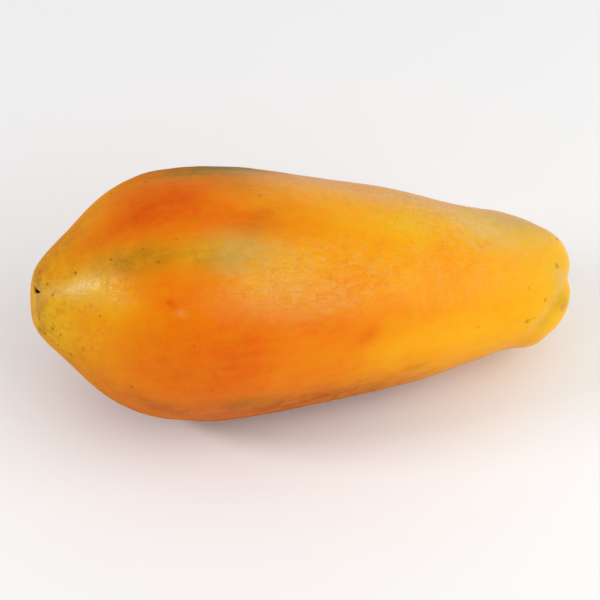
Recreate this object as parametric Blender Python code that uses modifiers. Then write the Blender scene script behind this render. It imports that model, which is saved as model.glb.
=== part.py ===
"""A whole ripe papaya lying on its side: one closed solid, in metres, +Z up.

The fruit's long axis runs along X, with the blossom end towards -X and the neck, where the stalk
was, towards +X. The neck end droops until the fruit balances on a small flat spot under its belly.
"""

import math
from typing import NamedTuple

import bmesh
import bpy
import numpy as np
from mathutils import Vector

MM = 0.001

# Meridian of the fruit in millimetres: control points (distance from blossom tip, radius) of one
# smooth curve that starts and ends on the axis.
BLOSSOM_END = ((1.0, 0.0), (0.5, 5.0), (0.4, 10.5), (1.6, 15.8), (6.2, 21.8), (15.0, 30.6))
BELLY = ((26.0, 41.5), (40.0, 52.8), (56.0, 61.0), (74.0, 63.6), (94.0, 64.2), (116.0, 61.8))
TAPER = ((140.0, 57.8), (165.0, 53.7), (190.0, 49.3), (212.0, 43.6), (232.0, 37.4), (250.0, 33.6))
NECK_END = ((263.0, 31.4), (271.5, 26.0), (275.5, 18.0), (275.0, 11.0), (272.0, 5.0), (271.0, 0.0))
MERIDIAN = BLOSSOM_END + BELLY + TAPER + NECK_END

STEM_SCAR_AT = 272.0  # distance from blossom tip to the stem scar
SHOULDER_PULL = 28.0  # how far a furrow pulls the neck's shoulder back, per unit of its depth
HOLLOW_RADIUS = 16.0  # furrows fade out inside this radius, round the stem scar
RIB_COUNT = 5  # a papaya has five carpels
BODY_RIB = 0.008  # rib height as a share of the radius, along the body
TIP_RIB = 0.020  # the same, where the ribs meet at the blossom tip
TIP_LEAN = 0.02  # slope of the blossom end, which faces a little upward
TIP_LEAN_REACH = 20.0
NECK_RISE = 2.9  # the neck's bend away from a straight axis
BEND_FROM = 140.0
BACK_LOBE_SHORTER = 9.0  # the lobe at the back stops short of the others
BACK_LOBE_ANGLE = -67.0

AXIS_DROOP_DEG = 8.5  # the neck end hangs lower than the belly
FOOT_DEPTH = 1.2 * MM  # how much the belly is flattened where it rests

SEGMENTS = 36  # round the fruit, before subdivision
RINGS = 32  # from tip to tip, before subdivision
SUBDIVISIONS = 1
SKIN_COLOUR = (0.82, 0.30, 0.02, 1.0)


class Furrow(NamedTuple):
    """A fold between two lobes of the neck, in degrees round the fruit and millimetres along it."""

    angle: float  # at the stem scar, from the top towards the front
    width: float
    depth: float  # as a share of the radius
    reach: float  # how far it runs back from the stem scar
    twist: float = 0.0  # how far it swings round on its way back
    twist_over: float = 24.0


class Swelling(NamedTuple):
    """A rounded bulge of the skin, or a hollow where the height is negative."""

    angle: float
    width: float
    height: float  # as a share of the radius
    from_scar: float  # its middle, back from the stem scar
    reach: float


FURROWS = (
    Furrow(angle=-27.0, width=15.0, depth=0.050, reach=50.0),
    Furrow(angle=47.0, width=15.0, depth=0.060, reach=40.0, twist=59.0, twist_over=33.0),
    Furrow(angle=123.0, width=16.0, depth=0.060, reach=48.0),
    Furrow(angle=193.0, width=16.0, depth=0.060, reach=48.0),
    Furrow(angle=260.0, width=16.0, depth=0.060, reach=48.0),
)
SWELLINGS = (
    Swelling(angle=-59.0, width=28.0, height=0.050, from_scar=26.0, reach=19.0),
    Swelling(angle=-48.0, width=30.0, height=-0.028, from_scar=58.0, reach=16.0),
    Swelling(angle=127.0, width=30.0, height=0.105, from_scar=13.0, reach=12.0),
    Swelling(angle=84.0, width=22.0, height=-0.045, from_scar=6.0, reach=12.0),
    Swelling(angle=-48.0, width=42.0, height=-0.022, from_scar=255.0, reach=9.0),
    Swelling(angle=-48.0, width=42.0, height=0.016, from_scar=234.0, reach=16.0),
)


def smooth_step(t: np.ndarray) -> np.ndarray:
    """Ease from 0 to 1 as t goes from 0 to 1, and hold beyond."""
    t = np.clip(t, 0.0, 1.0)
    return t * t * (3.0 - 2.0 * t)


def hump(distance: np.ndarray, width: float) -> np.ndarray:
    """A bell curve: 1 at no distance, fading over the width."""
    return np.exp(-((distance / width) ** 2))


def turn_between(a: np.ndarray, b: np.ndarray | float) -> np.ndarray:
    """The signed angle from b to a in degrees, the short way round."""
    return (a - b + 180.0) % 360.0 - 180.0


def meridian_at(share: np.ndarray) -> tuple[np.ndarray, np.ndarray]:
    """Follow the meridian: 0 at the blossom tip, 1 at the stem scar. Returns distance and radius."""
    inner = np.array(MERIDIAN)
    mirror = np.array((1.0, -1.0))
    points = np.vstack((inner[1] * mirror, inner, inner[-2] * mirror))
    spans = len(inner) - 1
    position = share * spans
    first = np.clip(np.floor(position).astype(int), 0, spans - 1)
    t = (position - first)[:, None]
    weights = (
        (1.0 - t) ** 3 / 6.0,
        (3.0 * t**3 - 6.0 * t**2 + 4.0) / 6.0,
        (-3.0 * t**3 + 3.0 * t**2 + 3.0 * t + 1.0) / 6.0,
        t**3 / 6.0,
    )
    curve = sum(weight * points[first + k] for k, weight in enumerate(weights))
    return curve[:, 0], curve[:, 1]


def furrow_depth(angle: np.ndarray, from_scar: np.ndarray) -> np.ndarray:
    """How deep the neck's furrows cut, as a share of the radius."""
    depth = np.zeros_like(angle)
    for furrow in FURROWS:
        swing = furrow.twist * smooth_step(from_scar / furrow.twist_over + 0.15)
        across = hump(turn_between(angle, furrow.angle + swing), furrow.width)
        depth += furrow.depth * across * smooth_step((furrow.reach - from_scar) / (0.85 * furrow.reach))
    return depth


def skin_points(share: np.ndarray, angle: np.ndarray) -> np.ndarray:
    """Points of the skin in the fruit's own frame, in millimetres.

    Args:
        share: Way along the meridian, 0 at the blossom tip and 1 at the stem scar.
        angle: Degrees round the fruit, from the top towards the front.

    Returns:
        One row (along the axis, sideways, up) for each pair.
    """
    along, radius = meridian_at(share)
    from_scar = STEM_SCAR_AT - along
    cut = furrow_depth(angle, from_scar) * smooth_step(radius / HOLLOW_RADIUS)
    ribs = np.cos(np.radians(RIB_COUNT * (angle - 45.0)))
    tip_ribs = np.cos(np.radians(RIB_COUNT * (angle - 47.0)))
    relief = BODY_RIB * ribs * smooth_step(along / 60.0) - cut
    relief += TIP_RIB * tip_ribs * (1.0 - smooth_step(along / 70.0))
    for bulge in SWELLINGS:
        around = hump(turn_between(angle, bulge.angle), bulge.width)
        relief += bulge.height * around * hump(from_scar - bulge.from_scar, bulge.reach)
    radius = radius * (1.0 + relief)
    back_lobe = hump(turn_between(angle, BACK_LOBE_ANGLE), 40.0) * smooth_step((50.0 - from_scar) / 50.0)
    lean = radius * np.cos(np.radians(angle - 135.0)) * (1.0 - smooth_step(along / TIP_LEAN_REACH))
    along = along - BACK_LOBE_SHORTER * back_lobe - TIP_LEAN * lean
    along = along - SHOULDER_PULL * cut * smooth_step((22.0 - from_scar) / 22.0)
    rise = NECK_RISE * (np.clip(along - BEND_FROM, 0.0, None) / (STEM_SCAR_AT - BEND_FROM)) ** 2
    sideways = -radius * np.sin(np.radians(angle)) + rise * math.sin(math.radians(45.0))
    up = radius * np.cos(np.radians(angle)) + rise * math.cos(math.radians(45.0))
    return np.column_stack((along, sideways, up))


def drooped(points: np.ndarray) -> np.ndarray:
    """Tip the neck end down about Y."""
    droop = math.radians(AXIS_DROOP_DEG)
    x = points[:, 0] * math.cos(droop) + points[:, 2] * math.sin(droop)
    z = -points[:, 0] * math.sin(droop) + points[:, 2] * math.cos(droop)
    return np.column_stack((x, points[:, 1], z))


def clear_scene() -> None:
    """Remove every object that is already in the file."""
    for thing in list(bpy.data.objects):
        bpy.data.objects.remove(thing, do_unlink=True)


def collection_named(name: str) -> bpy.types.Collection:
    """Make a collection and link it to the scene."""
    collection = bpy.data.collections.new(name)
    bpy.context.scene.collection.children.link(collection)
    return collection


def skin_material() -> bpy.types.Material:
    """Ripe orange skin."""
    material = bpy.data.materials.new("papaya")
    material.use_nodes = True
    shader = material.node_tree.nodes["Principled BSDF"]
    shader.inputs["Base Color"].default_value = SKIN_COLOUR
    shader.inputs["Roughness"].default_value = 0.38
    return material


def fruit_cage() -> bpy.types.Mesh:
    """A UV sphere with its poles along X, pulled to the fruit's shape."""
    cage = bmesh.new()
    bmesh.ops.create_uvsphere(cage, u_segments=SEGMENTS, v_segments=RINGS, radius=1.0)
    cage.verts.ensure_lookup_table()
    sphere = np.array([vert.co for vert in cage.verts])
    share = np.arccos(np.clip(sphere[:, 2], -1.0, 1.0)) / math.pi
    angle = np.degrees(np.arctan2(-sphere[:, 1], sphere[:, 0]))
    for vert, point in zip(cage.verts, drooped(skin_points(share, angle)) * MM, strict=True):
        vert.co = point
    mesh = bpy.data.meshes.new("papaya")
    cage.to_mesh(mesh)
    cage.free()
    return mesh


def evaluated_bounds(fruit: bpy.types.Object) -> tuple[Vector, Vector]:
    """Low and high corner of an object with its modifiers applied."""
    shaped = fruit.evaluated_get(bpy.context.evaluated_depsgraph_get())
    corners = [Vector(corner) for corner in shaped.bound_box]
    low = Vector(min(corner[axis] for corner in corners) for axis in range(3))
    high = Vector(max(corner[axis] for corner in corners) for axis in range(3))
    return low, high


def settle(fruit: bpy.types.Object) -> None:
    """Centre the fruit over the origin and sink its belly by the depth of the foot."""
    low, high = evaluated_bounds(fruit)
    shift = Vector((-(low.x + high.x) / 2.0, -(low.y + high.y) / 2.0, -FOOT_DEPTH - low.z))
    for vert in fruit.data.vertices:
        vert.co += shift


def flatten_foot(fruit: bpy.types.Object, cutters: bpy.types.Collection) -> None:
    """Cut the belly flat at z = 0, where the fruit has settled under its own weight."""
    block = bmesh.new()
    bmesh.ops.create_cube(block, size=1.0)
    bmesh.ops.scale(block, vec=Vector((0.4, 0.2, 0.02)), verts=block.verts)
    bmesh.ops.translate(block, vec=Vector((0.0, 0.0, -0.01)), verts=block.verts)
    mesh = bpy.data.meshes.new("foot_cutter")
    block.to_mesh(mesh)
    block.free()
    cutter = bpy.data.objects.new("foot_cutter", mesh)
    cutter.hide_render = True
    cutter.display_type = "WIRE"
    cutters.objects.link(cutter)
    cut = fruit.modifiers.new("foot", "BOOLEAN")
    cut.operation = "DIFFERENCE"
    cut.solver = "EXACT"
    cut.object = cutter


def build() -> None:
    """Build the papaya."""
    clear_scene()
    fruit = bpy.data.objects.new("papaya", fruit_cage())
    collection_named("papaya_fruit").objects.link(fruit)
    fruit.data.materials.append(skin_material())
    fruit.data.shade_smooth()
    rounding = fruit.modifiers.new("rounding", "SUBSURF")
    rounding.levels = SUBDIVISIONS
    rounding.render_levels = SUBDIVISIONS
    settle(fruit)
    flatten_foot(fruit, collection_named("cutters"))


build()
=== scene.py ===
"""A ripe papaya lying on its side on a pale studio floor.

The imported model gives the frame; one finely modelled skin stands for its solid. Lengths on the
fruit are in millimetres and angles in degrees round its own axis, from the top towards the front.
A place on the skin is given by its way, the distance over the skin from the blossom tip, and its
angle.
"""

from __future__ import annotations

import logging
import math
import sys
from dataclasses import dataclass, field
from enum import Enum
from functools import reduce
from typing import ClassVar

import bmesh
import bpy
import numpy as np
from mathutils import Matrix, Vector


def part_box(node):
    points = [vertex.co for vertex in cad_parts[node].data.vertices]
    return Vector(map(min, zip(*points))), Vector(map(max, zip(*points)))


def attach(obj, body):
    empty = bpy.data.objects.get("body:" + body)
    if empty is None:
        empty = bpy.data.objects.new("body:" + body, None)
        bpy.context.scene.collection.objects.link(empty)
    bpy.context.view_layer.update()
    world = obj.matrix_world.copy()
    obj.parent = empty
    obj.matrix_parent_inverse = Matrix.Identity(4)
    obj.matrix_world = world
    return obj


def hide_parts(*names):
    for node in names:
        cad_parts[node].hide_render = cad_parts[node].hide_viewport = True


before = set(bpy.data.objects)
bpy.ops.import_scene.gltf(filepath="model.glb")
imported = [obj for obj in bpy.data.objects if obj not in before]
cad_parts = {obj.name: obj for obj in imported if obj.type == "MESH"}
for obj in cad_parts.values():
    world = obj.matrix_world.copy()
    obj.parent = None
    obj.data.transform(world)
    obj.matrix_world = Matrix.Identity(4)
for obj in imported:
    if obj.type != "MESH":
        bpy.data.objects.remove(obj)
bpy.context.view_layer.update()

LOG = logging.getLogger("papaya")
MM = 0.001
NODE = "papaya"
# How high the middle of the fruit is above the floor, in metres.
FRUIT_MIDDLE = 0.058

Colour = tuple[float, float, float, float]
Socket = bpy.types.NodeSocket
Number = float | Socket
Place = tuple[float, float]


def smooth_step(t: np.ndarray) -> np.ndarray:
    """Ease from 0 to 1 as t goes from 0 to 1, and hold beyond."""
    t = np.clip(t, 0.0, 1.0)
    return t * t * (3.0 - 2.0 * t)


def hump(distance: np.ndarray, width: float) -> np.ndarray:
    """A bell curve: 1 at no distance, fading over the width."""
    return np.exp(-((distance / width) ** 2))


def turn_between(a: np.ndarray, b: np.ndarray | float) -> np.ndarray:
    """The signed angle from b to a in degrees, the short way round."""
    return (a - b + 180.0) % 360.0 - 180.0


def paint(red: int, green: int, blue: int) -> Colour:
    """Turn a paint-chart colour into the linear colour that a shader takes.

    Args:
        red: Its red part, 0 to 255.
        green: Its green part, 0 to 255.
        blue: Its blue part, 0 to 255.

    Returns:
        The colour, with a full fourth part.
    """

    def linear(part: int) -> float:
        """One part of the colour, made linear by the sRGB curve."""
        share = part / 255.0
        return share / 12.92 if share <= 0.04045 else ((share + 0.055) / 1.055) ** 2.4

    return (linear(red), linear(green), linear(blue), 1.0)


# --- The fruit's form --------------------------------------------


@dataclass(frozen=True)
class Meridian:
    """The fruit's side outline: one smooth curve that starts and ends on the axis."""

    blossom_end: tuple = ((1.0, 0.0), (0.5, 5.0), (0.4, 10.5), (1.6, 15.8), (6.2, 21.8), (15.0, 30.6))
    belly: tuple = ((26.0, 41.5), (40.0, 52.8), (56.0, 61.0), (74.0, 63.6), (94.0, 64.2), (116.0, 61.8))
    taper: tuple = ((140.0, 57.8), (165.0, 53.7), (190.0, 49.3), (212.0, 43.6), (232.0, 37.4), (250.0, 33.6))
    neck_end: tuple = ((263.0, 31.4), (271.5, 26.0), (275.5, 18.0), (275.0, 11.0), (272.0, 5.0), (271.0, 0.0))
    samples: int = 2001

    def at(self, share: np.ndarray) -> tuple[np.ndarray, np.ndarray]:
        """Follow the curve, a uniform cubic B-spline that the outline's points guide.

        Args:
            share: Share of the curve, 0 at the blossom tip and 1 at the stem scar.

        Returns:
            The distance along the axis from the blossom tip, and the radius.
        """
        inner = np.array(self.blossom_end + self.belly + self.taper + self.neck_end)
        mirror = np.array((1.0, -1.0))
        points = np.vstack((inner[1] * mirror, inner, inner[-2] * mirror))
        spans = len(inner) - 1
        position = share * spans
        first = np.clip(np.floor(position).astype(int), 0, spans - 1)
        t = (position - first)[:, None]
        weights = (
            (1.0 - t) ** 3 / 6.0,
            (3.0 * t**3 - 6.0 * t**2 + 4.0) / 6.0,
            (-3.0 * t**3 + 3.0 * t**2 + 3.0 * t + 1.0) / 6.0,
            t**3 / 6.0,
        )
        curve = sum(weight * points[first + k] for k, weight in enumerate(weights))
        return curve[:, 0], curve[:, 1]

    def way_table(self) -> tuple[np.ndarray, np.ndarray]:
        """Measure the curve, for looking up the way by the share or the share by the way.

        Returns:
            Shares of the curve, and the way over the skin to each.
        """
        share = np.linspace(0.0, 1.0, self.samples)
        along, radius = self.at(share)
        steps = np.hypot(np.diff(along), np.diff(radius))
        return share, np.concatenate(((0.0,), np.cumsum(steps)))

    def way_of(self, share: np.ndarray) -> np.ndarray:
        """The way over the skin from the blossom tip, in millimetres."""
        shares, ways = self.way_table()
        return np.interp(share, shares, ways)

    def share_of(self, way: np.ndarray) -> np.ndarray:
        """The share of the curve at a way over the skin."""
        shares, ways = self.way_table()
        return np.interp(way, ways, shares)


@dataclass(frozen=True)
class Furrow:
    """A fold between two lobes of the neck."""

    angle: float
    width: float
    depth: float
    reach: float
    twist: float = 0.0
    twist_over: float = 24.0
    twist_begun: float = 0.15
    fade: float = 0.85

    def cut(self, angle: np.ndarray, from_scar: np.ndarray) -> np.ndarray:
        """How deep the furrow is.

        Args:
            angle: Degrees round the fruit.
            from_scar: The distance along the axis from the stem scar.

        Returns:
            The depth at each point, as a share of the radius.
        """
        swing = self.twist * smooth_step(from_scar / self.twist_over + self.twist_begun)
        across = hump(turn_between(angle, self.angle + swing), self.width)
        fading = smooth_step((self.reach - from_scar) / (self.fade * self.reach))
        return self.depth * across * fading


@dataclass(frozen=True)
class Swelling:
    """A rounded bulge of the skin, or a hollow where the height is negative."""

    angle: float
    width: float
    height: float
    from_scar: float
    reach: float

    def rise(self, angle: np.ndarray, from_scar: np.ndarray) -> np.ndarray:
        """How far it stands out, as a share of the radius."""
        around = hump(turn_between(angle, self.angle), self.width)
        return self.height * around * hump(from_scar - self.from_scar, self.reach)


@dataclass
class FruitForm:
    """The whole fruit's shape: outline, ribs, neck lobes, droop and flat foot."""

    meridian: Meridian = Meridian()
    stem_scar_at: float = 272.0
    shoulder_pull: float = 28.0
    hollow_radius: float = 16.0
    hollow_reach: float = 22.0
    rib_count: int = 5
    body_rib: float = 0.008
    body_rib_angle: float = 45.0
    body_rib_from: float = 60.0
    tip_rib: float = 0.020
    tip_rib_angle: float = 47.0
    tip_rib_reach: float = 70.0
    tip_lean: float = 0.02
    tip_lean_angle: float = 135.0
    tip_lean_reach: float = 20.0
    neck_rise: float = 2.9
    bend_from: float = 140.0
    bend_angle: float = 45.0
    back_lobe_shorter: float = 9.0
    back_lobe_angle: float = -67.0
    back_lobe_width: float = 40.0
    back_lobe_reach: float = 50.0
    droop_deg: float = 8.5
    foot_depth: float = 1.2
    # How finely the solid is made; its box depends on it a little.
    solid_rings: int = 161
    solid_segments: int = 180
    furrows: tuple[Furrow, ...] = (
        Furrow(angle=-27.0, width=15.0, depth=0.050, reach=50.0),
        Furrow(angle=47.0, width=15.0, depth=0.060, reach=40.0, twist=59.0, twist_over=33.0),
        Furrow(angle=123.0, width=16.0, depth=0.060, reach=48.0),
        Furrow(angle=193.0, width=16.0, depth=0.060, reach=48.0),
        Furrow(angle=260.0, width=16.0, depth=0.060, reach=48.0),
    )
    swellings: tuple[Swelling, ...] = (
        Swelling(angle=-59.0, width=28.0, height=0.050, from_scar=26.0, reach=19.0),
        Swelling(angle=-48.0, width=30.0, height=-0.028, from_scar=58.0, reach=16.0),
        Swelling(angle=127.0, width=30.0, height=0.105, from_scar=13.0, reach=12.0),
        Swelling(angle=84.0, width=22.0, height=-0.045, from_scar=6.0, reach=12.0),
        Swelling(angle=-48.0, width=42.0, height=-0.022, from_scar=255.0, reach=9.0),
        Swelling(angle=-48.0, width=42.0, height=0.016, from_scar=234.0, reach=16.0),
    )
    offset: np.ndarray = field(default_factory=lambda: np.zeros(3))

    def in_fruit(self, share: np.ndarray, angle: np.ndarray) -> np.ndarray:
        """Points of the smooth skin in the fruit's own frame, in millimetres.

        Args:
            share: Share of the meridian.
            angle: Degrees round the fruit.

        Returns:
            One row (along the axis, sideways, up) for each pair.
        """
        along, radius = self.meridian.at(share)
        from_scar = self.stem_scar_at - along
        cut = sum(furrow.cut(angle, from_scar) for furrow in self.furrows)
        cut = cut * smooth_step(radius / self.hollow_radius)
        ribs = np.cos(np.radians(self.rib_count * (angle - self.body_rib_angle)))
        tip_ribs = np.cos(np.radians(self.rib_count * (angle - self.tip_rib_angle)))
        relief = self.body_rib * ribs * smooth_step(along / self.body_rib_from) - cut
        relief += self.tip_rib * tip_ribs * (1.0 - smooth_step(along / self.tip_rib_reach))
        relief += sum(bulge.rise(angle, from_scar) for bulge in self.swellings)
        radius = radius * (1.0 + relief)
        back_lobe = hump(turn_between(angle, self.back_lobe_angle), self.back_lobe_width)
        back_lobe = back_lobe * smooth_step(1.0 - from_scar / self.back_lobe_reach)
        lean = radius * np.cos(np.radians(angle - self.tip_lean_angle))
        lean = lean * (1.0 - smooth_step(along / self.tip_lean_reach))
        along = along - self.back_lobe_shorter * back_lobe - self.tip_lean * lean
        along = along - self.shoulder_pull * cut * smooth_step(1.0 - from_scar / self.hollow_reach)
        bend = np.clip(along - self.bend_from, 0.0, None) / (self.stem_scar_at - self.bend_from)
        rise = self.neck_rise * bend**2 * math.sin(math.radians(self.bend_angle))
        sideways = -radius * np.sin(np.radians(angle)) + rise
        up = radius * np.cos(np.radians(angle)) + rise
        return np.column_stack((along, sideways, up))

    def drooped(self, points: np.ndarray) -> np.ndarray:
        """Tip the neck end down.

        Args:
            points: Points in the fruit's own frame.

        Returns:
            The same points with the droop.
        """
        droop = math.radians(self.droop_deg)
        x = points[:, 0] * math.cos(droop) + points[:, 2] * math.sin(droop)
        z = -points[:, 0] * math.sin(droop) + points[:, 2] * math.cos(droop)
        return np.column_stack((x, points[:, 1], z))

    def settle(self, low: Vector, high: Vector) -> None:
        """Find the shift that puts the fruit where its solid lies.

        Args:
            low: Lowest corner of the solid, in metres.
            high: Highest corner of the solid, in metres.
        """
        share = np.linspace(0.0, 1.0, self.solid_rings)
        angle = np.arange(-180.0, 180.0, 360.0 / self.solid_segments)
        grid = np.meshgrid(share, angle, indexing="ij")
        points = self.drooped(self.in_fruit(grid[0].ravel(), grid[1].ravel()))
        own_low, own_high = points.min(axis=0), points.max(axis=0)
        middle = (np.array(low) + np.array(high)) / 2.0 / MM
        self.offset = middle - (own_low + own_high) / 2.0
        self.offset[2] = low[2] / MM - self.foot_depth - own_low[2]

    def placed(self, share: np.ndarray, angle: np.ndarray) -> np.ndarray:
        """Points of the smooth skin where the fruit lies, in millimetres."""
        return self.drooped(self.in_fruit(share, angle)) + self.offset

    def point(self, place: Place) -> np.ndarray:
        """One point of the smooth skin where the fruit lies, in millimetres."""
        way, angle = place
        return self.placed(self.meridian.share_of(np.array((way,))), np.array((angle,)))[0]


# --- What is on the skin -----------------------------------------


@dataclass(frozen=True)
class SkinGrid:
    """Where each point of the skin's mesh lies on the fruit."""

    way: np.ndarray
    angle: np.ndarray
    radius: np.ndarray
    points: np.ndarray

    def offsets(self, place: Place, slant: float) -> tuple[np.ndarray, np.ndarray]:
        """Distances over the skin from a place.

        Args:
            place: The place's way from the blossom tip, and its angle.
            slant: Degrees to turn the first direction from the neck's towards the underside.

        Returns:
            The distance in the slanted direction and the distance across it.
        """
        way, angle = place
        lengthwise = self.way - way
        around = np.radians(turn_between(self.angle, angle)) * self.radius
        c, s = math.cos(math.radians(slant)), math.sin(math.radians(slant))
        return c * lengthwise + s * around, c * around - s * lengthwise


class Trait(Enum):
    """What varies over the skin; each is stored on the mesh under its value."""

    RIPENESS = "ripeness"
    CHLOROPHYLL = "chlorophyll"
    BLOOM = "bloom"
    ASH = "ash"
    RUSSET = "russet"
    WRINKLES = "wrinkles"
    STREAKS = "streaks"
    WAX = "wax"
    FRECKLES = "freckles"


@dataclass(frozen=True)
class Patch:
    """A soft-edged area where a trait is stronger or weaker; a larger edge is crisper."""

    at: Place
    size: tuple[float, float]
    amount: float
    slant: float = 0.0
    edge: float = 2.0

    def on(self, grid: SkinGrid) -> np.ndarray:
        """How much the patch adds to its trait.

        Args:
            grid: The skin's points.

        Returns:
            The amount at each point.
        """
        lengthwise, across = grid.offsets(self.at, self.slant)
        distance = np.hypot(lengthwise / self.size[0], across / self.size[1])
        return self.amount * np.exp(-(distance**self.edge))


@dataclass(frozen=True)
class Crease:
    """A fine fold, dent or scratch pressed into the skin; a negative depth stands out."""

    at: Place
    size: tuple[float, float]
    depth: float
    slant: float = 0.0
    bow: float = 0.0

    def on(self, grid: SkinGrid) -> np.ndarray:
        """How far the crease sinks the skin.

        Args:
            grid: The skin's points.

        Returns:
            The depth at each point, in millimetres.
        """
        length, width = self.size
        lengthwise, across = grid.offsets(self.at, self.slant)
        across = across - self.bow * (lengthwise / length) ** 2
        ends = np.exp(-((lengthwise / length) ** 4))
        return self.depth * ends * hump(across, width)


class SpeckKind(Enum):
    """The kinds of small mark, each with its place on the mark colour scale."""

    GREEN = 0.0
    BROWN = 0.5
    PINK = 1.0


@dataclass(frozen=True)
class Speck:
    """A small round mark: a breathing pore, a latex spot or a bruise."""

    kind: SpeckKind
    at: Place
    size: float
    strength: float = 1.0


@dataclass(frozen=True)
class BlossomScar:
    """The dark slit where the flower was, on the flat of the blossom tip.

    Places are (up, front) in millimetres from the axis.
    """

    start: tuple[float, float] = (4.2, -1.8)
    end: tuple[float, float] = (11.2, 7.2)
    start_width: float = 1.9
    end_width: float = 0.3
    lip_from: float = 0.55
    lip: float = 0.6
    depth: float = 4.0

    def sink(self, grid: SkinGrid) -> np.ndarray:
        """How open the slit is.

        Args:
            grid: The skin's points.

        Returns:
            0 on the skin round the slit to 1 inside it, for each point.
        """
        place = np.column_stack((np.cos(np.radians(grid.angle)), np.sin(np.radians(grid.angle))))
        place = place * grid.way[:, None]
        start, end = np.array(self.start), np.array(self.end)
        run = end - start
        share = np.clip((place - start) @ run / (run @ run), 0.0, 1.0)
        away = np.linalg.norm(place - start - share[:, None] * run, axis=1)
        width = self.start_width + (self.end_width - self.start_width) * share
        return 1.0 - smooth_step((away / width - self.lip_from) / self.lip)


@dataclass(frozen=True)
class StemScar:
    """The corky disc where the stalk broke off, in the hollow of the neck end."""

    radius: float = 6.0
    rim: float = 1.3
    rim_height: float = 0.5
    edge: float = 1.2
    sunk: float = 0.7
    sunk_inside: float = 0.8

    def cork(self, from_end: np.ndarray) -> np.ndarray:
        """How much of the surface is cork, 0 to 1, by the way from the scar's middle."""
        return 1.0 - smooth_step((from_end - self.radius) / self.edge)

    def rise(self, from_end: np.ndarray) -> np.ndarray:
        """How far the surface stands out, in millimetres, by the way from the scar's middle."""
        rim = self.rim_height * hump(from_end - self.radius - self.rim, self.rim)
        return rim - self.sunk * self.cork(from_end + self.sunk_inside)


@dataclass(frozen=True)
class Waves:
    """Soft unevenness made of many plain waves that run in random directions."""

    length: float
    height: float
    seed: int
    count: int = 28
    shortest: float = 0.7
    longest: float = 1.5

    def at(self, points: np.ndarray) -> np.ndarray:
        """How high the unevenness is.

        Args:
            points: Points of the skin, in millimetres.

        Returns:
            The height at each point, in millimetres.
        """
        rng = np.random.default_rng(self.seed)
        directions = rng.normal(size=(self.count, 3))
        directions /= np.linalg.norm(directions, axis=1)[:, None]
        lengths = self.length * rng.uniform(self.shortest, self.longest, self.count)
        phases = rng.uniform(0.0, 2.0 * math.pi, self.count)
        turns = points @ (directions / lengths[:, None]).T * 2.0 * math.pi + phases
        return self.height * np.sin(turns).sum(axis=1) / math.sqrt(self.count / 2.0)


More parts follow.
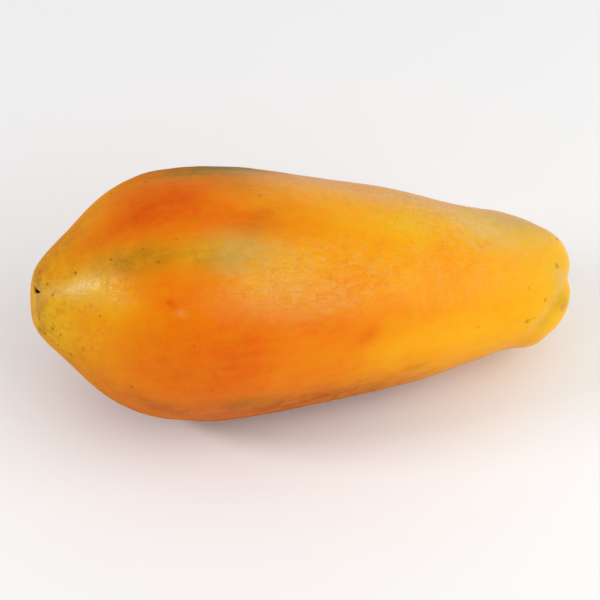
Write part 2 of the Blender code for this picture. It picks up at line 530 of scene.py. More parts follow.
@dataclass(frozen=True)
class SkinChart:
    """Everything that marks this fruit's skin, place by place.

    Each trait has a field of its own name, with patches that give a place (way, angle), a size
    (length, width) and an amount. A speck gives a kind, a place and a size.
    """

    # Pairs of (way, ripeness) before any patch is added.
    ripeness_along: tuple = (
        (0.0, 0.18), (20.0, 0.32), (45.0, 0.48), (75.0, 0.68), (130.0, 0.72), (170.0, 0.60),
        (205.0, 0.42), (240.0, 0.34), (275.0, 0.24), (300.0, 0.10), (334.0, 0.07),
    )  # fmt: skip
    # Redder where positive, yellower where negative.
    ripeness: tuple[Patch, ...] = (
        Patch((90, -2), (30, 17), 0.24),
        Patch((56, 4), (20, 9), 0.20),
        Patch((62, 24), (22, 8), -0.18),
        Patch((112, 27), (27, 9), -0.40),
        Patch((126, 2), (16, 8), -0.16),
        Patch((165, 26), (36, 14), -0.16),
        Patch((226, 80), (36, 14), -0.14),
        Patch((220, 10), (12, 14), -0.10),
        Patch((214, 62), (24, 9), 0.11),
        Patch((46, 38), (18, 9), -0.42),
        Patch((104, 78), (52, 26), 0.13),
        Patch((128, 8), (14, 10), 0.12),
        Patch((176, 66), (22, 10), 0.14, slant=16),
        Patch((191, 71), (8, 5), 0.20, slant=-50),
        Patch((148, 38), (24, 14), -0.24),
        Patch((165, -10), (38, 20), -0.30),
        Patch((206, 9), (34, 13), -0.16),
        Patch((262, -4), (34, 13), -0.28),
        Patch((26, 84), (18, 18), -0.26),
        Patch((62, 54), (16, 10), -0.26),
        Patch((130, 42), (15, 10), -0.14),
        Patch((248, 46), (24, 18), 0.10),
        Patch((88, 50), (3.4, 2.0), 0.22, slant=40),
        Patch((69, -42), (14, 14), -0.22),
        Patch((57, 27), (9, 7), 0.08),
        # Painted light: a yellower, lighter patch on the front near the blossom end.
        Patch((57, 80), (16, 12), -0.10),
        Patch((57, -8), (14, 12), -0.08),
        Patch((120, 215), (50, 28), 0.18),
        Patch((90, 265), (26, 16), -0.34),
        Patch((205, 245), (34, 18), 0.22),
        Patch((160, 300), (36, 14), 0.16),
        Patch((255, 190), (34, 20), -0.20),
    )
    # Skin that stayed green, and olive painted shade over the blossom end and its rim.
    chlorophyll: tuple[Patch, ...] = (
        Patch((75, 27), (18, 8), 0.44),
        Patch((109, 28), (14, 8), 0.47, slant=-8),
        Patch((122, 31), (8, 4), 0.30),
        # Partly the blossom end's own olive tone, partly painted shade: an olive darkening all round that
        # end.
        Patch((0, 0), (50, 900), 0.21, edge=3.0),
        # Painted shade at the rim of the blossom end, with its greener tone.
        Patch((12, 0), (7, 9), 0.26),
        Patch((117, -22), (22, 6), 0.44),
        Patch((12, 55), (6, 9), 0.14),
        Patch((57, 27), (9, 7), 0.12),
        Patch((75, -42), (14, 7), 0.16),
        Patch((301, 47), (6, 8), 0.22),
        Patch((291, 90), (6, 6), 0.22),
        Patch((14, 80), (9, 12), 0.12),
        Patch((60, 25), (26, 9), 0.14),
        Patch((123, -32), (30, 10), 1.05),
        Patch((34, -20), (16, 9), 0.16),
        Patch((134, -11), (17, 7), 0.24),
        Patch((34, 116), (14, 7), 0.12),
        Patch((17, 112), (4, 5), 0.20),
        Patch((280, -16), (20, 10), 0.42),
        Patch((132, 106), (16, 7), 0.40),
        Patch((220, 101), (6, 4), 0.20),
        Patch((303, 73), (6, 8), 0.42, slant=-50),
        Patch((95, 250), (22, 8), 0.50),
        Patch((150, 292), (18, 6), 0.34),
        Patch((260, 262), (22, 8), 0.30),
        Patch((28, 230), (16, 18), 0.30),
    )
    # Greyed skin, with painted highlight and sheen in two of its patches.
    ash: tuple[Patch, ...] = (
        Patch((126, 25), (18, 9), 0.60),
        # Painted highlight where the front lamp's reflection lies.
        Patch((142, 36), (20, 12), 0.30),
        Patch((117, 28), (4, 3), 0.30),
        Patch((118, 35), (7, 5), 0.42),
        Patch((303, 44), (7, 12), 0.38),
        # Partly painted sheen along the upper edge.
        Patch((220, -18), (56, 10), 0.28),
        Patch((178, 262), (22, 9), 0.35),
    )
    # Pale peach skin: the waxy bloom, and painted sheen and highlights where the lamps shine on it.
    bloom: tuple[Patch, ...] = (
        # Painted glint on a small raised scar.
        Patch((93, 54.5), (2.6, 1.5), 0.24, slant=25),
        Patch((301, 47), (6, 8), 0.26),
        # Painted sheen along the upper edge.
        Patch((232, -16), (46, 10), 0.30),
        Patch((158, -24), (30, 8), 0.22),
        Patch((262, 4), (20, 9), 0.62, slant=18),
        Patch((284, -20), (18, 10), 0.25),
        Patch((251, 18), (8, 1.7), 0.30, slant=34, edge=3.0),
        # Painted highlight along the lip of the neck's groove.
        Patch((293, 80), (17, 2.1), 0.27, slant=-50, edge=3.0),
        Patch((292, 96), (9, 6), 0.12, slant=-50),
        # Painted highlight: the pale rib crest from the slit and the pale zone round the lamp's reflection on
        # the blossom end.
        Patch((26, 37), (15, 3.5), 0.26),
        Patch((42, 36), (11, 6), 0.28, slant=-8),
        Patch((291, 4), (9, 8), 0.30),
        # Painted highlight below the lamp's reflection on the blossom end.
        Patch((50, 47), (15, 6), 0.16),
        # Painted highlight where the front lamp's reflection lies on the wrinkled middle.
        Patch((146, 50), (38, 10), 0.14, edge=4.0),
        Patch((225, 285), (40, 14), 0.35),
    )
    # Browned skin, and painted shade on the underside and along the lower front.
    russet: tuple[Patch, ...] = (
        Patch((16, -6), (4, 4), 0.20),
        Patch((13, 62), (5, 6), 0.18),
        Patch((136, 13), (17, 8), 0.22, slant=-40),
        # Painted shade: a broad darkening of the whole underside.
        Patch((150, 182), (106, 72), 0.90, edge=5.0),
        # Painted shade: darker bands along the lower front edge.
        Patch((160, 111), (44, 8), 0.38),
        Patch((88, 111), (22, 6), 0.32),
    )
    # Where the skin is crinkled.
    wrinkles: tuple[Patch, ...] = (
        Patch((240, 14), (42, 26), 0.75),
        Patch((157, 40), (50, 23), 1.0, edge=4.0),
        Patch((65, 45), (9, 8), 0.9),
        Patch((196, -14), (74, 18), 0.35, edge=4.0),
        Patch((140, 230), (44, 26), 0.6, edge=4.0),
    )
    # Where pale streaks run round the fruit.
    streaks: tuple[Patch, ...] = (
        Patch((236, 44), (30, 22), 1.0, edge=3.0),
        Patch((236, 250), (26, 20), 0.7, edge=4.0),
    )
    # Glossier where positive, duller where negative.
    wax: tuple[Patch, ...] = (
        Patch((49, 46), (22, 11), 0.8, edge=4.0),
        Patch((164, 38), (60, 26), 0.8, edge=6.0),
        Patch((84, -46), (70, 24), -2.2, edge=4.0),
        Patch((206, -16), (84, 18), 0.6, edge=4.0),
        Patch((150, 235), (70, 30), 0.5, edge=6.0),
        Patch((130, 182), (118, 70), -3.0, edge=5.0),
    )
    # Where small freckles show.
    freckles: tuple[Patch, ...] = (
        Patch((14, 60), (42, 90), 1.1),
    )
    creases: tuple[Crease, ...] = (
        Crease((58, 38), (8, 3.2), depth=0.16, slant=80),
        Crease((66, 52), (5, 4.5), depth=-0.30, slant=70),
        Crease((126, 25), (9, 1.0), depth=0.14, slant=-36, bow=1.5),
        Crease((129, 28), (7, 0.9), depth=0.10, slant=-30),
        Crease((118, 63), (6, 0.9), depth=0.12, slant=82, bow=1.0),
        Crease((252, 18), (12, 0.8), depth=0.08, slant=34),
        Crease((93, 54), (3, 1.8), depth=-0.16, slant=25),
        Crease((90, 53), (3, 1.2), depth=0.12, slant=40),
        Crease((193, 70), (4, 1.0), depth=0.10, slant=80),
        Crease((122, 50), (6, 0.9), depth=0.12, slant=-10, bow=1.0),
        Crease((119, 46), (5, 0.8), depth=0.10, slant=14),
    )  # fmt: skip
    specks: tuple[Speck, ...] = (
        Speck(SpeckKind.GREEN, (38, 24), 1.1),
        Speck(SpeckKind.GREEN, (23, 42), 1.0),
        Speck(SpeckKind.GREEN, (16, 114), 1.3),
        Speck(SpeckKind.GREEN, (20, 110), 1.0),
        Speck(SpeckKind.GREEN, (24, 90), 1.1),
        Speck(SpeckKind.GREEN, (29, 110), 0.8),
        Speck(SpeckKind.GREEN, (37, 108), 1.0),
        Speck(SpeckKind.GREEN, (54, 124), 0.9),
        Speck(SpeckKind.GREEN, (59, 126), 1.1),
        Speck(SpeckKind.GREEN, (72, 102), 0.9),
        Speck(SpeckKind.GREEN, (59, 23), 0.9),
        Speck(SpeckKind.GREEN, (83, 30), 1.1, strength=0.7),
        Speck(SpeckKind.GREEN, (76, 22), 0.9, strength=0.6),
        Speck(SpeckKind.BROWN, (139, -4), 0.9),
        Speck(SpeckKind.GREEN, (298, 34), 1.7, strength=0.6),
        Speck(SpeckKind.GREEN, (291, 65), 1.2, strength=0.7),
        Speck(SpeckKind.GREEN, (282, 84), 1.6, strength=0.7),
        Speck(SpeckKind.GREEN, (286, 82), 0.8, strength=0.6),
        Speck(SpeckKind.BROWN, (14, -30), 1.6, strength=0.7),
        Speck(SpeckKind.BROWN, (22, -22), 1.2, strength=0.5),
        Speck(SpeckKind.BROWN, (12, -2), 1.8, strength=0.6),
        Speck(SpeckKind.BROWN, (14, 92), 1.3, strength=0.7),
        Speck(SpeckKind.BROWN, (18, 76), 1.0, strength=0.5),
        Speck(SpeckKind.BROWN, (46, 52), 1.2, strength=0.3),
        Speck(SpeckKind.BROWN, (27, 30), 0.9, strength=0.4),
        Speck(SpeckKind.GREEN, (281, 52), 0.9, strength=0.4),
        Speck(SpeckKind.GREEN, (303, 1), 1.2),
        Speck(SpeckKind.BROWN, (20, 25), 1.0),
        Speck(SpeckKind.BROWN, (16, -10), 1.5, strength=0.8),
        Speck(SpeckKind.BROWN, (15, 5), 1.5, strength=0.7),
        Speck(SpeckKind.PINK, (10, 60), 1.6, strength=0.6),
        Speck(SpeckKind.BROWN, (11, 78), 1.2, strength=0.8),
        Speck(SpeckKind.PINK, (19, 50), 1.2, strength=0.6),
        Speck(SpeckKind.BROWN, (29, 92), 0.8),
        Speck(SpeckKind.BROWN, (85, -23), 1.0),
        Speck(SpeckKind.BROWN, (67, -31), 1.1),
        Speck(SpeckKind.BROWN, (93, 20), 0.8, strength=0.8),
        Speck(SpeckKind.BROWN, (51, 59), 0.8, strength=0.7),
        Speck(SpeckKind.BROWN, (100, 70), 0.8, strength=0.7),
        Speck(SpeckKind.BROWN, (112, 95), 0.9, strength=0.8),
        Speck(SpeckKind.BROWN, (172, 103), 1.0, strength=0.8),
        Speck(SpeckKind.BROWN, (253, 78), 0.7, strength=0.6),
        Speck(SpeckKind.PINK, (287, 112), 0.8),
        Speck(SpeckKind.BROWN, (43, 92), 1.8, strength=0.5),
        Speck(SpeckKind.PINK, (304, 81), 2.4, strength=0.8),
    )  # fmt: skip
    blossom_scar: BlossomScar = BlossomScar()
    stem_scar: StemScar = StemScar()
    waves: tuple[Waves, ...] = (
        Waves(length=46.0, height=0.10, seed=3),
        Waves(length=19.0, height=0.07, seed=5),
        Waves(length=8.5, height=0.028, seed=7),
    )

    def trait(self, trait: Trait, grid: SkinGrid) -> np.ndarray:
        """How strong a trait is.

        Args:
            trait: The trait.
            grid: The skin's points.

        Returns:
            The trait's strength at each point.
        """
        total = np.zeros(len(grid.way))
        if trait is Trait.RIPENESS:
            total += np.interp(grid.way, *zip(*self.ripeness_along, strict=True))
        return total + sum(patch.on(grid) for patch in getattr(self, trait.value))

    def relief(self, grid: SkinGrid, full_way: float) -> np.ndarray:
        """How far the skin stands out from the smooth form, in millimetres.

        Args:
            grid: The skin's points.
            full_way: The way over the skin from tip to tip.

        Returns:
            One height for each point.
        """
        height = sum(wave.at(grid.points) for wave in self.waves)
        height -= sum(crease.on(grid) for crease in self.creases)
        height -= self.blossom_scar.depth * self.blossom_scar.sink(grid)
        return height + self.stem_scar.rise(full_way - grid.way)


# --- The skin's material -----------------------------------------


@dataclass
class NodeBench:
    """Makes and joins a material's nodes."""

    # The numbers of the mix node's sockets when it mixes colours.
    MIX_BELOW: ClassVar[int] = 6
    MIX_ABOVE: ClassVar[int] = 7
    MIX_RESULT: ClassVar[int] = 2
    # How wide a band round a half most of a noise stays in.
    NOISE_BAND: ClassVar[float] = 0.5

    tree: bpy.types.NodeTree

    def node(self, kind: str, inputs: dict[str | int, object], **settings: object) -> bpy.types.Node:
        """Make one node.

        Args:
            kind: The node's type.
            inputs: A value or socket for each input, by its name or number.
            **settings: Properties of the node.

        Returns:
            The node.
        """
        made = self.tree.nodes.new(kind)
        for name, value in settings.items():
            setattr(made, name, value)
        for name, value in inputs.items():
            self.feed(made.inputs[name], value)
        return made

    def feed(self, socket: Socket, value: object) -> None:
        """Link a socket to another, or set its value.

        Args:
            socket: The socket to feed.
            value: Another socket, or a value.
        """
        if isinstance(value, bpy.types.NodeSocket):
            self.tree.links.new(value, socket)
        else:
            socket.default_value = value

    def math(self, operation: str, *values: Number, clamp: bool = False) -> Socket:
        """One sum on numbers."""
        inputs = dict(enumerate(values))
        return self.node("ShaderNodeMath", inputs, operation=operation, use_clamp=clamp).outputs[0]

    def product(self, first: Number, *others: Number) -> Number:
        """Several numbers multiplied."""
        return reduce(lambda product, other: self.math("MULTIPLY", product, other), others, first)

    def total(self, first: Number, *others: Number) -> Number:
        """Several numbers added."""
        return reduce(lambda total, other: self.math("ADD", total, other), others, first)

    def swing(self, noise: Number, reach: float) -> Socket:
        """Turn a noise that hovers round a half into one that swings by a reach either side of 0."""
        gain = 2.0 * reach / self.NOISE_BAND
        return self.math("MULTIPLY_ADD", noise, gain, -0.5 * gain)

    def step(self, value: Number, start: Number, end: Number) -> Socket:
        """Ease from 0 to 1 between a start and an end, which may be the larger."""
        limits = {"Value": value, "From Min": start, "From Max": end}
        return self.node("ShaderNodeMapRange", limits, interpolation_type="SMOOTHSTEP").outputs["Result"]

    def attribute(self, name: str, output: str = "Fac") -> Socket:
        """Read what the mesh stores under a name."""
        return self.node("ShaderNodeAttribute", {}, attribute_name=name).outputs[output]

    def stretched(self, place: Socket, factors: tuple[float, float, float]) -> Socket:
        """Scale a place by a factor in each direction."""
        made = self.node("ShaderNodeVectorMath", {0: place, 1: factors}, operation="MULTIPLY")
        return made.outputs["Vector"]

    def noise(self, place: Socket, size: float, detail: float = 2.0, warp: float = 0.0) -> Socket:
        """A cloudy noise whose features are of a size in millimetres."""
        inputs = {"Vector": place, "Scale": 1.0 / size, "Detail": detail, "Distortion": warp}
        return self.node("ShaderNodeTexNoise", inputs).outputs["Fac"]

    def net(self, place: Socket, size: float) -> Socket:
        """Distance, in cells, to the nearest line of a net with meshes of a size in millimetres."""
        inputs = {"Vector": place, "Scale": 1.0 / size, "Randomness": 1.0}
        return self.node("ShaderNodeTexVoronoi", inputs, feature="DISTANCE_TO_EDGE").outputs["Distance"]

    def dots(self, place: Socket, apart: float) -> Socket:
        """Distance, in cells, to the nearest of scattered dots some millimetres apart."""
        inputs = {"Vector": place, "Scale": 1.0 / apart, "Randomness": 1.0}
        return self.node("ShaderNodeTexVoronoi", inputs, feature="F1").outputs["Distance"]

    def shifted(self, place: Socket, size: float, reach: float) -> Socket:
        """Shake a place about, so that what is laid out on it runs unevenly.

        Args:
            place: The place, in millimetres.
            size: The size of the shaking's features, in millimetres.
            reach: How far it shakes the place, in millimetres.

        Returns:
            The shaken place.
        """
        inputs = {"Vector": place, "Scale": 1.0 / size, "Detail": 1.0}
        cloud = self.node("ShaderNodeTexNoise", inputs).outputs["Color"]
        gain = 2.0 * reach / self.NOISE_BAND
        inputs = {0: cloud, 1: (gain,) * 3, 2: (-0.5 * gain,) * 3}
        swung = self.node("ShaderNodeVectorMath", inputs, operation="MULTIPLY_ADD").outputs["Vector"]
        made = self.node("ShaderNodeVectorMath", {0: place, 1: swung}, operation="ADD")
        return made.outputs["Vector"]

    def mix(
        self, amount: Number, below: Colour | Socket, above: Colour | Socket, blend: str = "MIX"
    ) -> Socket:
        """Lay one colour over another.

        Args:
            amount: How much of the upper colour shows, 0 to 1.
            below: The lower colour.
            above: The upper colour.
            blend: How the two are blended.

        Returns:
            The resulting colour.
        """
        inputs = {0: amount, self.MIX_BELOW: below, self.MIX_ABOVE: above}
        made = self.node("ShaderNodeMix", inputs, data_type="RGBA", blend_type=blend, clamp_factor=True)
        return made.outputs[self.MIX_RESULT]

    def grey(self, value: Number) -> Socket:
        """A number as a grey of that brightness."""
        return self.node("ShaderNodeCombineColor", {0: value, 1: value, 2: value}).outputs["Color"]

    def ramp(self, value: Number, stops: tuple[tuple[float, Colour], ...]) -> Socket:
        """Pick a colour from a scale of colours.

        Args:
            value: Where on the scale.
            stops: Pairs of a position on the scale and its colour.

        Returns:
            The colour.
        """
        made = self.node("ShaderNodeValToRGB", {"Fac": value})
        elements = made.color_ramp.elements
        while len(elements) < len(stops):
            elements.new(1.0)
        for element, (position, colour) in zip(elements, stops, strict=True):
            element.position = position
            element.color = colour
        return made.outputs["Color"]


@dataclass(frozen=True)
class SkinPlace:
    """The place on the fruit in millimetres, plain and drawn out in three ways."""

    plain: Socket
    lengthwise: Socket
    around: Socket
    crinkled: Socket


@dataclass(frozen=True)
class RipeSkinFinish:
    """Ripe papaya skin: mottled yellow to red-orange, waxy, finely pitted and wrinkled.

    Each tint is how much of its colour shows where its trait is 1. Depths and rises are in
    millimetres.
    """

    ripening: tuple[tuple[float, Colour], ...] = (
        (0.00, paint(231, 179, 22)),
        (0.25, paint(235, 160, 10)),
        (0.50, paint(229, 137, 2)),
        (0.75, paint(224, 113, 0)),
        (1.00, paint(213, 81, 0)),
    )
    # Olive of skin that stayed green, also used as painted shade on the blossom end.
    olive: Colour = paint(136, 108, 10)
    # Pale peach of the waxy bloom, also used for painted sheen and highlights.
    bloom: Colour = paint(214, 174, 104)
    # Grey of greyed skin, also used for painted highlight and sheen.
    ash: Colour = paint(196, 156, 74)
    # Brown of russeted skin, also used as painted shade on the underside and lower edge.
    russet: Colour = paint(154, 70, 4)
    # Darker orange painted as shade in the wrinkle folds.
    wrinkle: Colour = paint(206, 104, 10)
    green_mark: Colour = paint(92, 92, 14)
    brown_mark: Colour = paint(160, 80, 16)
    pink_mark: Colour = paint(206, 118, 80)
    # Near black: the scar's own dark colour, with painted shade for the deep slit.
    slit: Colour = paint(8, 5, 3)
    cork: Colour = paint(150, 112, 66)
    cork_dark: Colour = paint(78, 52, 30)
    shine: Colour = (1.0, 0.92, 0.72, 1.0)
    gloss: float = 0.12
    roughness: float = 0.38
    wax_smooths: float = 0.20
    scars_roughen: float = 0.45

    lengthwise_draw: tuple[float, float, float] = (0.16, 1.0, 1.0)
    around_draw: tuple[float, float, float] = (1.0, 0.14, 0.14)
    crinkle_draw: tuple[float, float, float] = (0.55, 1.0, 1.0)

    crack_share: float = 0.8
    wrinkle_shade_tint: float = 0.24
    peach_tint: float = 0.18
    streak_tint: float = 0.11
    smudge_tint: float = 0.24
    freckle_tint: float = 0.45
    speck_tint: float = 0.72

    fold_depth: float = 0.13
    crack_depth: float = 0.08
    wrinkled_all_over: float = 0.04
    pebble_rise: float = 0.020
    dimple_rise: float = 0.052
    drawn_rise: float = 0.012
    streak_rise: float = 0.048
    wax_rise: float = 0.16
    cork_rise: float = 0.16

    def material(self) -> bpy.types.Material:
        """Make the skin's material.

        Returns:
            The material, with its own settings on the shader and the rest linked to it.
        """
        material = bpy.data.materials.new("papaya_skin")
        material.use_nodes = True
        bench = NodeBench(material.node_tree)
        metres = bench.node("ShaderNodeTexCoord", {}).outputs["Object"]
        plain = bench.stretched(metres, (1.0 / MM,) * 3)
        at = SkinPlace(
            plain=plain,
            lengthwise=bench.stretched(plain, self.lengthwise_draw),
            around=bench.stretched(plain, self.around_draw),
            crinkled=bench.stretched(plain, self.crinkle_draw),
        )
        shader = material.node_tree.nodes["Principled BSDF"]
        bench.feed(shader.inputs["Base Color"], self._marked(bench, at, self._colour(bench, at)))
        bench.feed(shader.inputs["Roughness"], self._roughness(bench, at))
        bench.feed(shader.inputs["Normal"], self._bump(bench, at))
        shader.inputs["Specular IOR Level"].default_value = self.gloss
        shader.inputs["Specular Tint"].default_value = self.shine
        return material

    def _colour(self, bench: NodeBench, at: SkinPlace) -> Socket:
        """The colour of the skin itself, with the painted shade, sheen and highlights that its layers carry.

        Args:
            bench: Where the nodes are made.
            at: The place on the fruit.

        Returns:
            The colour's socket.
        """
        clouds = bench.noise(at.plain, size=34.0, detail=3.0, warp=0.4)
        drift = bench.noise(at.lengthwise, size=4.0, detail=4.0, warp=0.4)
        mottle = bench.noise(at.plain, size=6.5, detail=4.0, warp=0.6)
        grain = bench.noise(at.plain, size=2.4, detail=3.0, warp=0.4)
        grit = bench.noise(at.plain, size=1.1)
        blotch = bench.noise(at.plain, size=13.0, detail=4.0, warp=0.3)
        ripeness = bench.total(
            bench.attribute(Trait.RIPENESS.value),
            bench.swing(clouds, reach=0.06),
            bench.swing(drift, reach=0.042),
            bench.swing(mottle, reach=0.07),
            bench.swing(grain, reach=0.06),
            bench.swing(grit, reach=0.045),
            bench.product(bench.step(blotch, start=0.48, end=0.72), 0.04),
        )
        colour = bench.ramp(ripeness, self.ripening)
        ragged = bench.total(
            bench.swing(mottle, reach=0.40),
            bench.swing(drift, reach=0.35),
            bench.swing(grit, reach=0.30),
            1.0,
        )
        # The olive, grey, russet and bloom layers also carry painted shade on the blossom end and underside,
        # and painted sheen and highlights.
        layers = (
            (Trait.CHLOROPHYLL, self.olive),
            (Trait.ASH, self.ash),
            (Trait.RUSSET, self.russet),
            (Trait.BLOOM, self.bloom),
        )
        for trait, tint in layers:
            colour = bench.mix(bench.product(bench.attribute(trait.value), ragged), colour, tint)
        shade = bench.total(
            1.0,
            bench.swing(grit, reach=0.05),
            bench.swing(grain, reach=0.04),
            bench.swing(mottle, reach=0.045),
        )
        return bench.mix(1.0, colour, bench.grey(shade), "MULTIPLY")

    def _wrinkle_nets(self, bench: NodeBench, at: SkinPlace) -> tuple[Socket, Socket]:
        """Lay two nets of wrinkles over the skin.

        Args:
            bench: Where the nodes are made.
            at: The place on the fruit.

        Returns:
            The distances, in cells, to the nearest line of the coarse and of the fine net.
        """
        coarse = bench.net(bench.shifted(at.crinkled, size=5.0, reach=1.8), size=4.6)
        fine = bench.net(bench.shifted(at.crinkled, size=3.0, reach=1.2), size=2.5)
        return coarse, fine

    def _marked(self, bench: NodeBench, at: SkinPlace, colour: Socket) -> Socket:
        """Lay wrinkles with their painted shade and sheen, streaks, specks, the slit and the cork over the
        skin's colour.

        Args:
            bench: Where the nodes are made.
            at: The place on the fruit.
            colour: The colour of the skin itself.

        Returns:
            The colour with every mark on it.
        """
        wrinkles = bench.attribute(Trait.WRINKLES.value)
        coarse, fine = self._wrinkle_nets(bench, at)
        # Painted shade: darker orange along the lines of the wrinkle nets, the same folds that the bump
        # sinks.
        line = bench.step(coarse, start=0.09, end=0.0)
        crack = bench.product(bench.step(fine, start=0.14, end=0.0), self.crack_share)
        fading = bench.step(bench.noise(at.plain, size=5.0, detail=3.0), start=0.44, end=0.64)
        lines = bench.product(bench.total(line, crack), fading)
        colour = bench.mix(bench.product(lines, wrinkles, self.wrinkle_shade_tint), colour, self.wrinkle)

        # Pale peach mottling in the wrinkled patches: partly the bloom, partly painted sheen where they catch
        # the lamps.
        peach = bench.noise(at.crinkled, size=3.6, detail=4.0, warp=0.5)
        peach = bench.product(bench.step(peach, start=0.44, end=0.68), wrinkles, self.peach_tint)
        colour = bench.mix(peach, colour, self.bloom)

        streak = bench.step(bench.noise(at.around, size=1.9, detail=3.0), start=0.50, end=0.66)
        streaks = bench.attribute(Trait.STREAKS.value)
        colour = bench.mix(bench.product(streak, streaks, self.streak_tint), colour, self.bloom)

        freckles = bench.attribute(Trait.FRECKLES.value)
        smudge = bench.noise(at.plain, size=3.4, detail=3.0, warp=0.5)
        smudge = bench.product(bench.step(smudge, start=0.54, end=0.66), freckles, self.smudge_tint)
        colour = bench.mix(smudge, colour, self.brown_mark)
        freckle = bench.step(bench.dots(at.plain, apart=3.4), start=0.20, end=0.08)
        kept = bench.step(bench.noise(at.plain, size=5.0), start=0.55, end=0.62)
        freckle = bench.product(freckle, kept, freckles, self.freckle_tint)
        colour = bench.mix(freckle, colour, self.green_mark)

        wobbly = bench.shifted(at.plain, size=1.2, reach=0.40)
        ends = {0: wobbly, 1: bench.attribute("speck_centre", "Vector")}
        away = bench.node("ShaderNodeVectorMath", ends, operation="DISTANCE").outputs["Value"]
        size = bench.math("MAXIMUM", bench.attribute("speck_size"), 0.001)
        speck = bench.step(bench.math("DIVIDE", away, size), start=1.25, end=0.35)
        speck = bench.product(speck, bench.attribute("speck_strength"), self.speck_tint)
        kinds = (
            (SpeckKind.GREEN.value, self.green_mark),
            (SpeckKind.BROWN.value, self.brown_mark),
            (SpeckKind.PINK.value, self.pink_mark),
        )
        colour = bench.mix(speck, colour, bench.ramp(bench.attribute("speck_kind"), kinds))

        pitted = bench.step(bench.noise(at.plain, size=1.6, detail=3.0), start=0.40, end=0.60)
        cork = bench.mix(pitted, self.cork, self.cork_dark)
        colour = bench.mix(bench.attribute("cork"), colour, cork)
        # The slit is painted near black: partly the scar's colour, partly painted shade inside it.
        open_slit = bench.step(bench.attribute("slit"), start=0.02, end=0.35)
        return bench.mix(open_slit, colour, self.slit)

    def _roughness(self, bench: NodeBench, at: SkinPlace) -> Socket:
        """How rough the skin is: waxy, in patches, and dull on the scars.

        Args:
            bench: Where the nodes are made.
            at: The place on the fruit.

        Returns:
            The roughness's socket.
        """
        patches = bench.swing(bench.noise(at.plain, size=9.0, detail=3.0), reach=0.07)
        grit = bench.swing(bench.noise(at.plain, size=1.8), reach=0.05)
        waxed = bench.product(bench.attribute(Trait.WAX.value), -self.wax_smooths)
        skin = bench.total(patches, grit, waxed, self.roughness)
        dull = bench.math("MAXIMUM", bench.attribute("cork"), bench.attribute("slit"))
        return bench.math("MULTIPLY_ADD", dull, self.scars_roughen, skin, clamp=True)

    def _bump(self, bench: NodeBench, at: SkinPlace) -> Socket:
        """The fine relief that is too small for the mesh.

        Args:
            bench: Where the nodes are made.
            at: The place on the fruit.

        Returns:
            The bent normal's socket.
        """
        pebble = bench.swing(bench.noise(at.plain, size=1.3), self.pebble_rise)
        dimples = bench.swing(bench.noise(at.plain, size=4.2, detail=3.0, warp=0.2), self.dimple_rise)
        drawn = bench.swing(bench.noise(at.lengthwise, size=2.2), self.drawn_rise)
        coarse, fine = self._wrinkle_nets(bench, at)
        fold = bench.product(bench.step(coarse, start=0.14, end=0.0), -self.fold_depth)
        crack = bench.product(bench.step(fine, start=0.20, end=0.0), -self.crack_depth)
        wrinkles = bench.total(bench.attribute(Trait.WRINKLES.value), self.wrinkled_all_over)
        folds = bench.product(bench.total(fold, crack), wrinkles)
        streaks = bench.swing(bench.noise(at.around, size=1.5), self.streak_rise)
        streaks = bench.product(streaks, bench.attribute(Trait.STREAKS.value))
        waxed = bench.swing(bench.noise(at.plain, size=9.0), self.wax_rise)
        waxed = bench.product(waxed, bench.math("MAXIMUM", bench.attribute(Trait.WAX.value), 0.0))
        corky = bench.swing(bench.noise(at.plain, size=0.9, detail=3.0), self.cork_rise)
        corky = bench.product(corky, bench.attribute("cork"))
        height = bench.total(pebble, dimples, drawn, folds, streaks, waxed, corky)
        inputs = {"Strength": 1.0, "Distance": MM, "Height": height}
        return bench.node("ShaderNodeBump", inputs).outputs["Normal"]


# --- The skin's mesh ---------------------------------------------


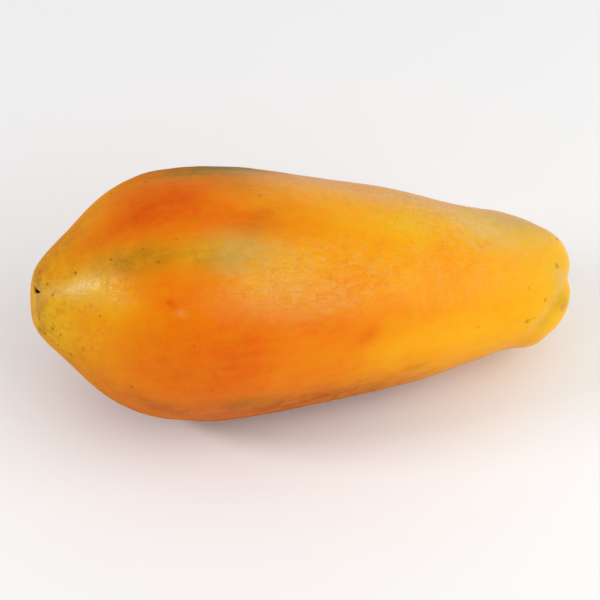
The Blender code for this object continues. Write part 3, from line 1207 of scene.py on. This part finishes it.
@dataclass
class PapayaSkin:
    """The visible skin of the whole fruit, as one closed mesh."""

    form: FruitForm
    chart: SkinChart
    rings: int = 308
    segments: int = 320
    speck_margin: float = 2.0

    def build(self) -> bpy.types.Object:
        """Make the skin's mesh and link it to the scene.

        Returns:
            The skin, without a material.
        """
        mesh = self._sleeve()
        flat = np.zeros(len(mesh.vertices) * 3)
        mesh.vertices.foreach_get("co", flat)
        flat = flat.reshape(-1, 3)
        share = (flat[:, 0] + 1.0) / 2.0
        angle = -180.0 * flat[:, 1]
        points = self.form.placed(share, angle)
        radius = self.form.meridian.at(share)[1]
        grid = SkinGrid(self.form.meridian.way_of(share), angle, radius, points)
        full_way = self.form.meridian.way_table()[1][-1]
        self._place(mesh, points)
        points = points + self._normals(mesh) * self.chart.relief(grid, full_way)[:, None]
        points[:, 2] = np.maximum(points[:, 2], 0.0)
        self._place(mesh, points)
        self._store_traits(mesh, grid, full_way)
        self._store_specks(mesh, points)
        mesh.shade_smooth()
        skin = bpy.data.objects.new("papaya_skin", mesh)
        bpy.context.scene.collection.objects.link(skin)
        return skin

    def _sleeve(self) -> bpy.types.Mesh:
        """A sheet joined into a closed sleeve, still laid flat from -1 to 1 each way.

        It runs from the blossom tip to the stem scar in X and once round the fruit in Y. Its edges
        meet under the fruit, and each end is drawn together into one point.

        Returns:
            The sleeve's mesh.
        """
        sheet = bmesh.new()
        sheet.loops.layers.uv.new("OFBake")
        bmesh.ops.create_grid(
            sheet, x_segments=self.rings, y_segments=self.segments, size=1.0, calc_uvs=True
        )
        near = 0.5 / max(self.rings, self.segments)
        ends = {side: [v for v in sheet.verts if v.co.x * side > 1.0 - near] for side in (-1, 1)}
        inner = [v for v in sheet.verts if abs(v.co.x) < 1.0 - near]
        seams = [[v for v in inner if v.co.y * side > 1.0 - near] for side in (-1, 1)]
        first, second = (sorted(seam, key=lambda v: v.co.x) for seam in seams)
        joined = dict(zip(first, second, strict=True))
        for end in ends.values():
            joined.update((v, end[0]) for v in end[1:])
        bmesh.ops.weld_verts(sheet, targetmap=joined)
        mesh = bpy.data.meshes.new("papaya_skin")
        sheet.to_mesh(mesh)
        sheet.free()
        return mesh

    def _place(self, mesh: bpy.types.Mesh, points: np.ndarray) -> None:
        """Move the mesh's vertices to points in millimetres."""
        mesh.vertices.foreach_set("co", (points * MM).ravel())
        mesh.update()

    def _normals(self, mesh: bpy.types.Mesh) -> np.ndarray:
        """Read the mesh's vertex normals.

        Args:
            mesh: The mesh.

        Returns:
            One row for each vertex.
        """
        normals = np.zeros(len(mesh.vertices) * 3)
        mesh.vertex_normals.foreach_get("vector", normals)
        return normals.reshape(-1, 3)

    def _store(self, mesh: bpy.types.Mesh, name: str, values: np.ndarray) -> None:
        """Store a number or a vector for each vertex under a name."""
        kind, key = ("FLOAT_VECTOR", "vector") if values.ndim > 1 else ("FLOAT", "value")
        mesh.attributes.new(name, kind, "POINT").data.foreach_set(key, values.ravel())

    def _store_traits(self, mesh: bpy.types.Mesh, grid: SkinGrid, full_way: float) -> None:
        """Store how strong each trait is, and where the scars are.

        Args:
            mesh: The skin's mesh.
            grid: The skin's points.
            full_way: The way over the skin from tip to tip.
        """
        for trait in Trait:
            self._store(mesh, trait.value, self.chart.trait(trait, grid))
        self._store(mesh, "slit", self.chart.blossom_scar.sink(grid))
        self._store(mesh, "cork", self.chart.stem_scar.cork(full_way - grid.way))

    def _store_specks(self, mesh: bpy.types.Mesh, points: np.ndarray) -> None:
        """Store the nearest speck's place, size, strength and kind at each vertex round it.

        Every corner of a face by a speck holds the same centre, so the speck's edge is worked out
        finely by the material, however coarse the mesh is. Its size is 0 further out.

        Args:
            mesh: The skin's mesh.
            points: Where its vertices are, in millimetres.
        """
        centres = np.array([self.form.point(speck.at) for speck in self.chart.specks])
        sizes = np.array([speck.size for speck in self.chart.specks])
        strengths = np.array([speck.strength for speck in self.chart.specks])
        kinds = np.array([speck.kind.value for speck in self.chart.specks])
        away = np.linalg.norm(points[:, None, :] - centres[None, :, :], axis=2)
        nearest = away.argmin(axis=1)
        near = away.min(axis=1) < 2.0 * sizes[nearest] + self.speck_margin
        self._store(mesh, "speck_centre", centres[nearest])
        self._store(mesh, "speck_size", np.where(near, sizes[nearest], 0.0))
        self._store(mesh, "speck_strength", np.where(near, strengths[nearest], 0.0))
        self._store(mesh, "speck_kind", kinds[nearest])


# --- The studio --------------------------------------------------


@dataclass(frozen=True)
class SoftLamp:
    """A soft rectangular lamp that points at the fruit; its brightness holds for any size of face."""

    name: str
    azimuth: float
    elevation: float
    distance: float
    face: tuple[float, float]
    brightness: float

    def power(self) -> float:
        """The lamp's power in watts."""
        return self.brightness * math.pi * self.face[0] * self.face[1]


@dataclass
class Studio:
    """Pale floor, soft light and the camera; lengths are in metres."""

    middle: Vector
    camera_azimuth: float = -11.0
    camera_elevation: float = 45.0
    camera_distance: float = 1.9
    lens: float = 225.6
    aim_right: float = -0.00145
    aim_up: float = -0.0059
    lamps: tuple[SoftLamp, ...] = (
        SoftLamp("front_right", azimuth=54, elevation=26, distance=1.3, face=(1.6, 1.1), brightness=2.5),
        SoftLamp("left", azimuth=-89, elevation=28.5, distance=1.3, face=(0.34, 0.16), brightness=36.0),
        SoftLamp("back_right", azimuth=140, elevation=12, distance=1.4, face=(1.0, 0.7), brightness=1.25),
        SoftLamp("overhead", azimuth=0, elevation=85, distance=1.6, face=(2.0, 2.0), brightness=0.30),
    )
    camera_sight: float = 20.0
    floor_reach: float = 6.0
    floor_colour: Colour = (0.88, 0.88, 0.88, 1.0)
    floor_roughness: float = 0.9
    sky_colour: Colour = (1.0, 1.0, 1.0, 1.0)
    sky_strength: float = 0.48

    def toward(self, azimuth: float, elevation: float) -> Vector:
        """Unit vector from the fruit to a place round it: azimuth 0 is in front, 90 at the neck end."""
        a, e = math.radians(azimuth), math.radians(elevation)
        return Vector((math.sin(a) * math.cos(e), -math.cos(a) * math.cos(e), math.sin(e)))

    def build_floor(self) -> bpy.types.Object:
        """Lay the floor.

        Returns:
            The floor, with its material.
        """
        sheet = bmesh.new()
        bmesh.ops.create_grid(sheet, x_segments=1, y_segments=1, size=self.floor_reach)
        mesh = bpy.data.meshes.new("floor")
        sheet.to_mesh(mesh)
        sheet.free()
        floor = bpy.data.objects.new("floor", mesh)
        bpy.context.scene.collection.objects.link(floor)
        material = bpy.data.materials.new("floor")
        material.use_nodes = True
        shader = material.node_tree.nodes["Principled BSDF"]
        shader.inputs["Base Color"].default_value = self.floor_colour
        shader.inputs["Roughness"].default_value = self.floor_roughness
        shader.inputs["Specular IOR Level"].default_value = 0.0
        mesh.materials.append(material)
        return floor

    def build_lamps(self) -> None:
        """Hang the lamps and set the sky."""
        for lamp in self.lamps:
            light = bpy.data.lights.new(lamp.name, "AREA")
            light.shape = "RECTANGLE"
            light.size, light.size_y = lamp.face
            light.energy = lamp.power()
            holder = bpy.data.objects.new(lamp.name, light)
            away = self.toward(lamp.azimuth, lamp.elevation)
            holder.location = self.middle + away * lamp.distance
            holder.rotation_euler = away.to_track_quat("Z", "Y").to_euler()
            bpy.context.scene.collection.objects.link(holder)
        world = bpy.data.worlds.new("sky")
        world.use_nodes = True
        sky = world.node_tree.nodes["Background"]
        sky.inputs["Color"].default_value = self.sky_colour
        sky.inputs["Strength"].default_value = self.sky_strength
        bpy.context.scene.world = world

    def build_camera(self) -> None:
        """Set up the camera."""
        data = bpy.data.cameras.new("camera")
        data.lens = self.lens
        data.clip_end = self.camera_sight
        camera = bpy.data.objects.new("camera", data)
        away = self.toward(self.camera_azimuth, self.camera_elevation)
        turn = away.to_track_quat("Z", "Y")
        right, up = turn @ Vector((1.0, 0.0, 0.0)), turn @ Vector((0.0, 1.0, 0.0))
        aim = self.middle + right * self.aim_right + up * self.aim_up
        camera.location = aim + away * self.camera_distance
        camera.rotation_euler = turn.to_euler()
        bpy.context.scene.collection.objects.link(camera)
        bpy.context.scene.camera = camera
        bpy.context.scene.view_settings.view_transform = "Standard"


def main() -> None:
    """Build the papaya and its studio in order."""
    logging.basicConfig(level=logging.INFO, format="%(message)s", stream=sys.stdout)
    low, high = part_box(NODE)
    form = FruitForm()
    form.settle(Vector(low), Vector(high))
    skin = PapayaSkin(form, SkinChart()).build()
    skin.data.materials.append(RipeSkinFinish().material())
    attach(skin, "root")
    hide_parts(NODE)
    LOG.info("%s: %d faces", skin.name, len(skin.data.polygons))

    studio = Studio(middle=Vector((0.0, 0.0, FRUIT_MIDDLE)))
    studio.build_floor()
    studio.build_lamps()
    studio.build_camera()
    LOG.info("studio: floor, %d lamps and camera", len(studio.lamps))


if __name__ == "__main__":
    main()
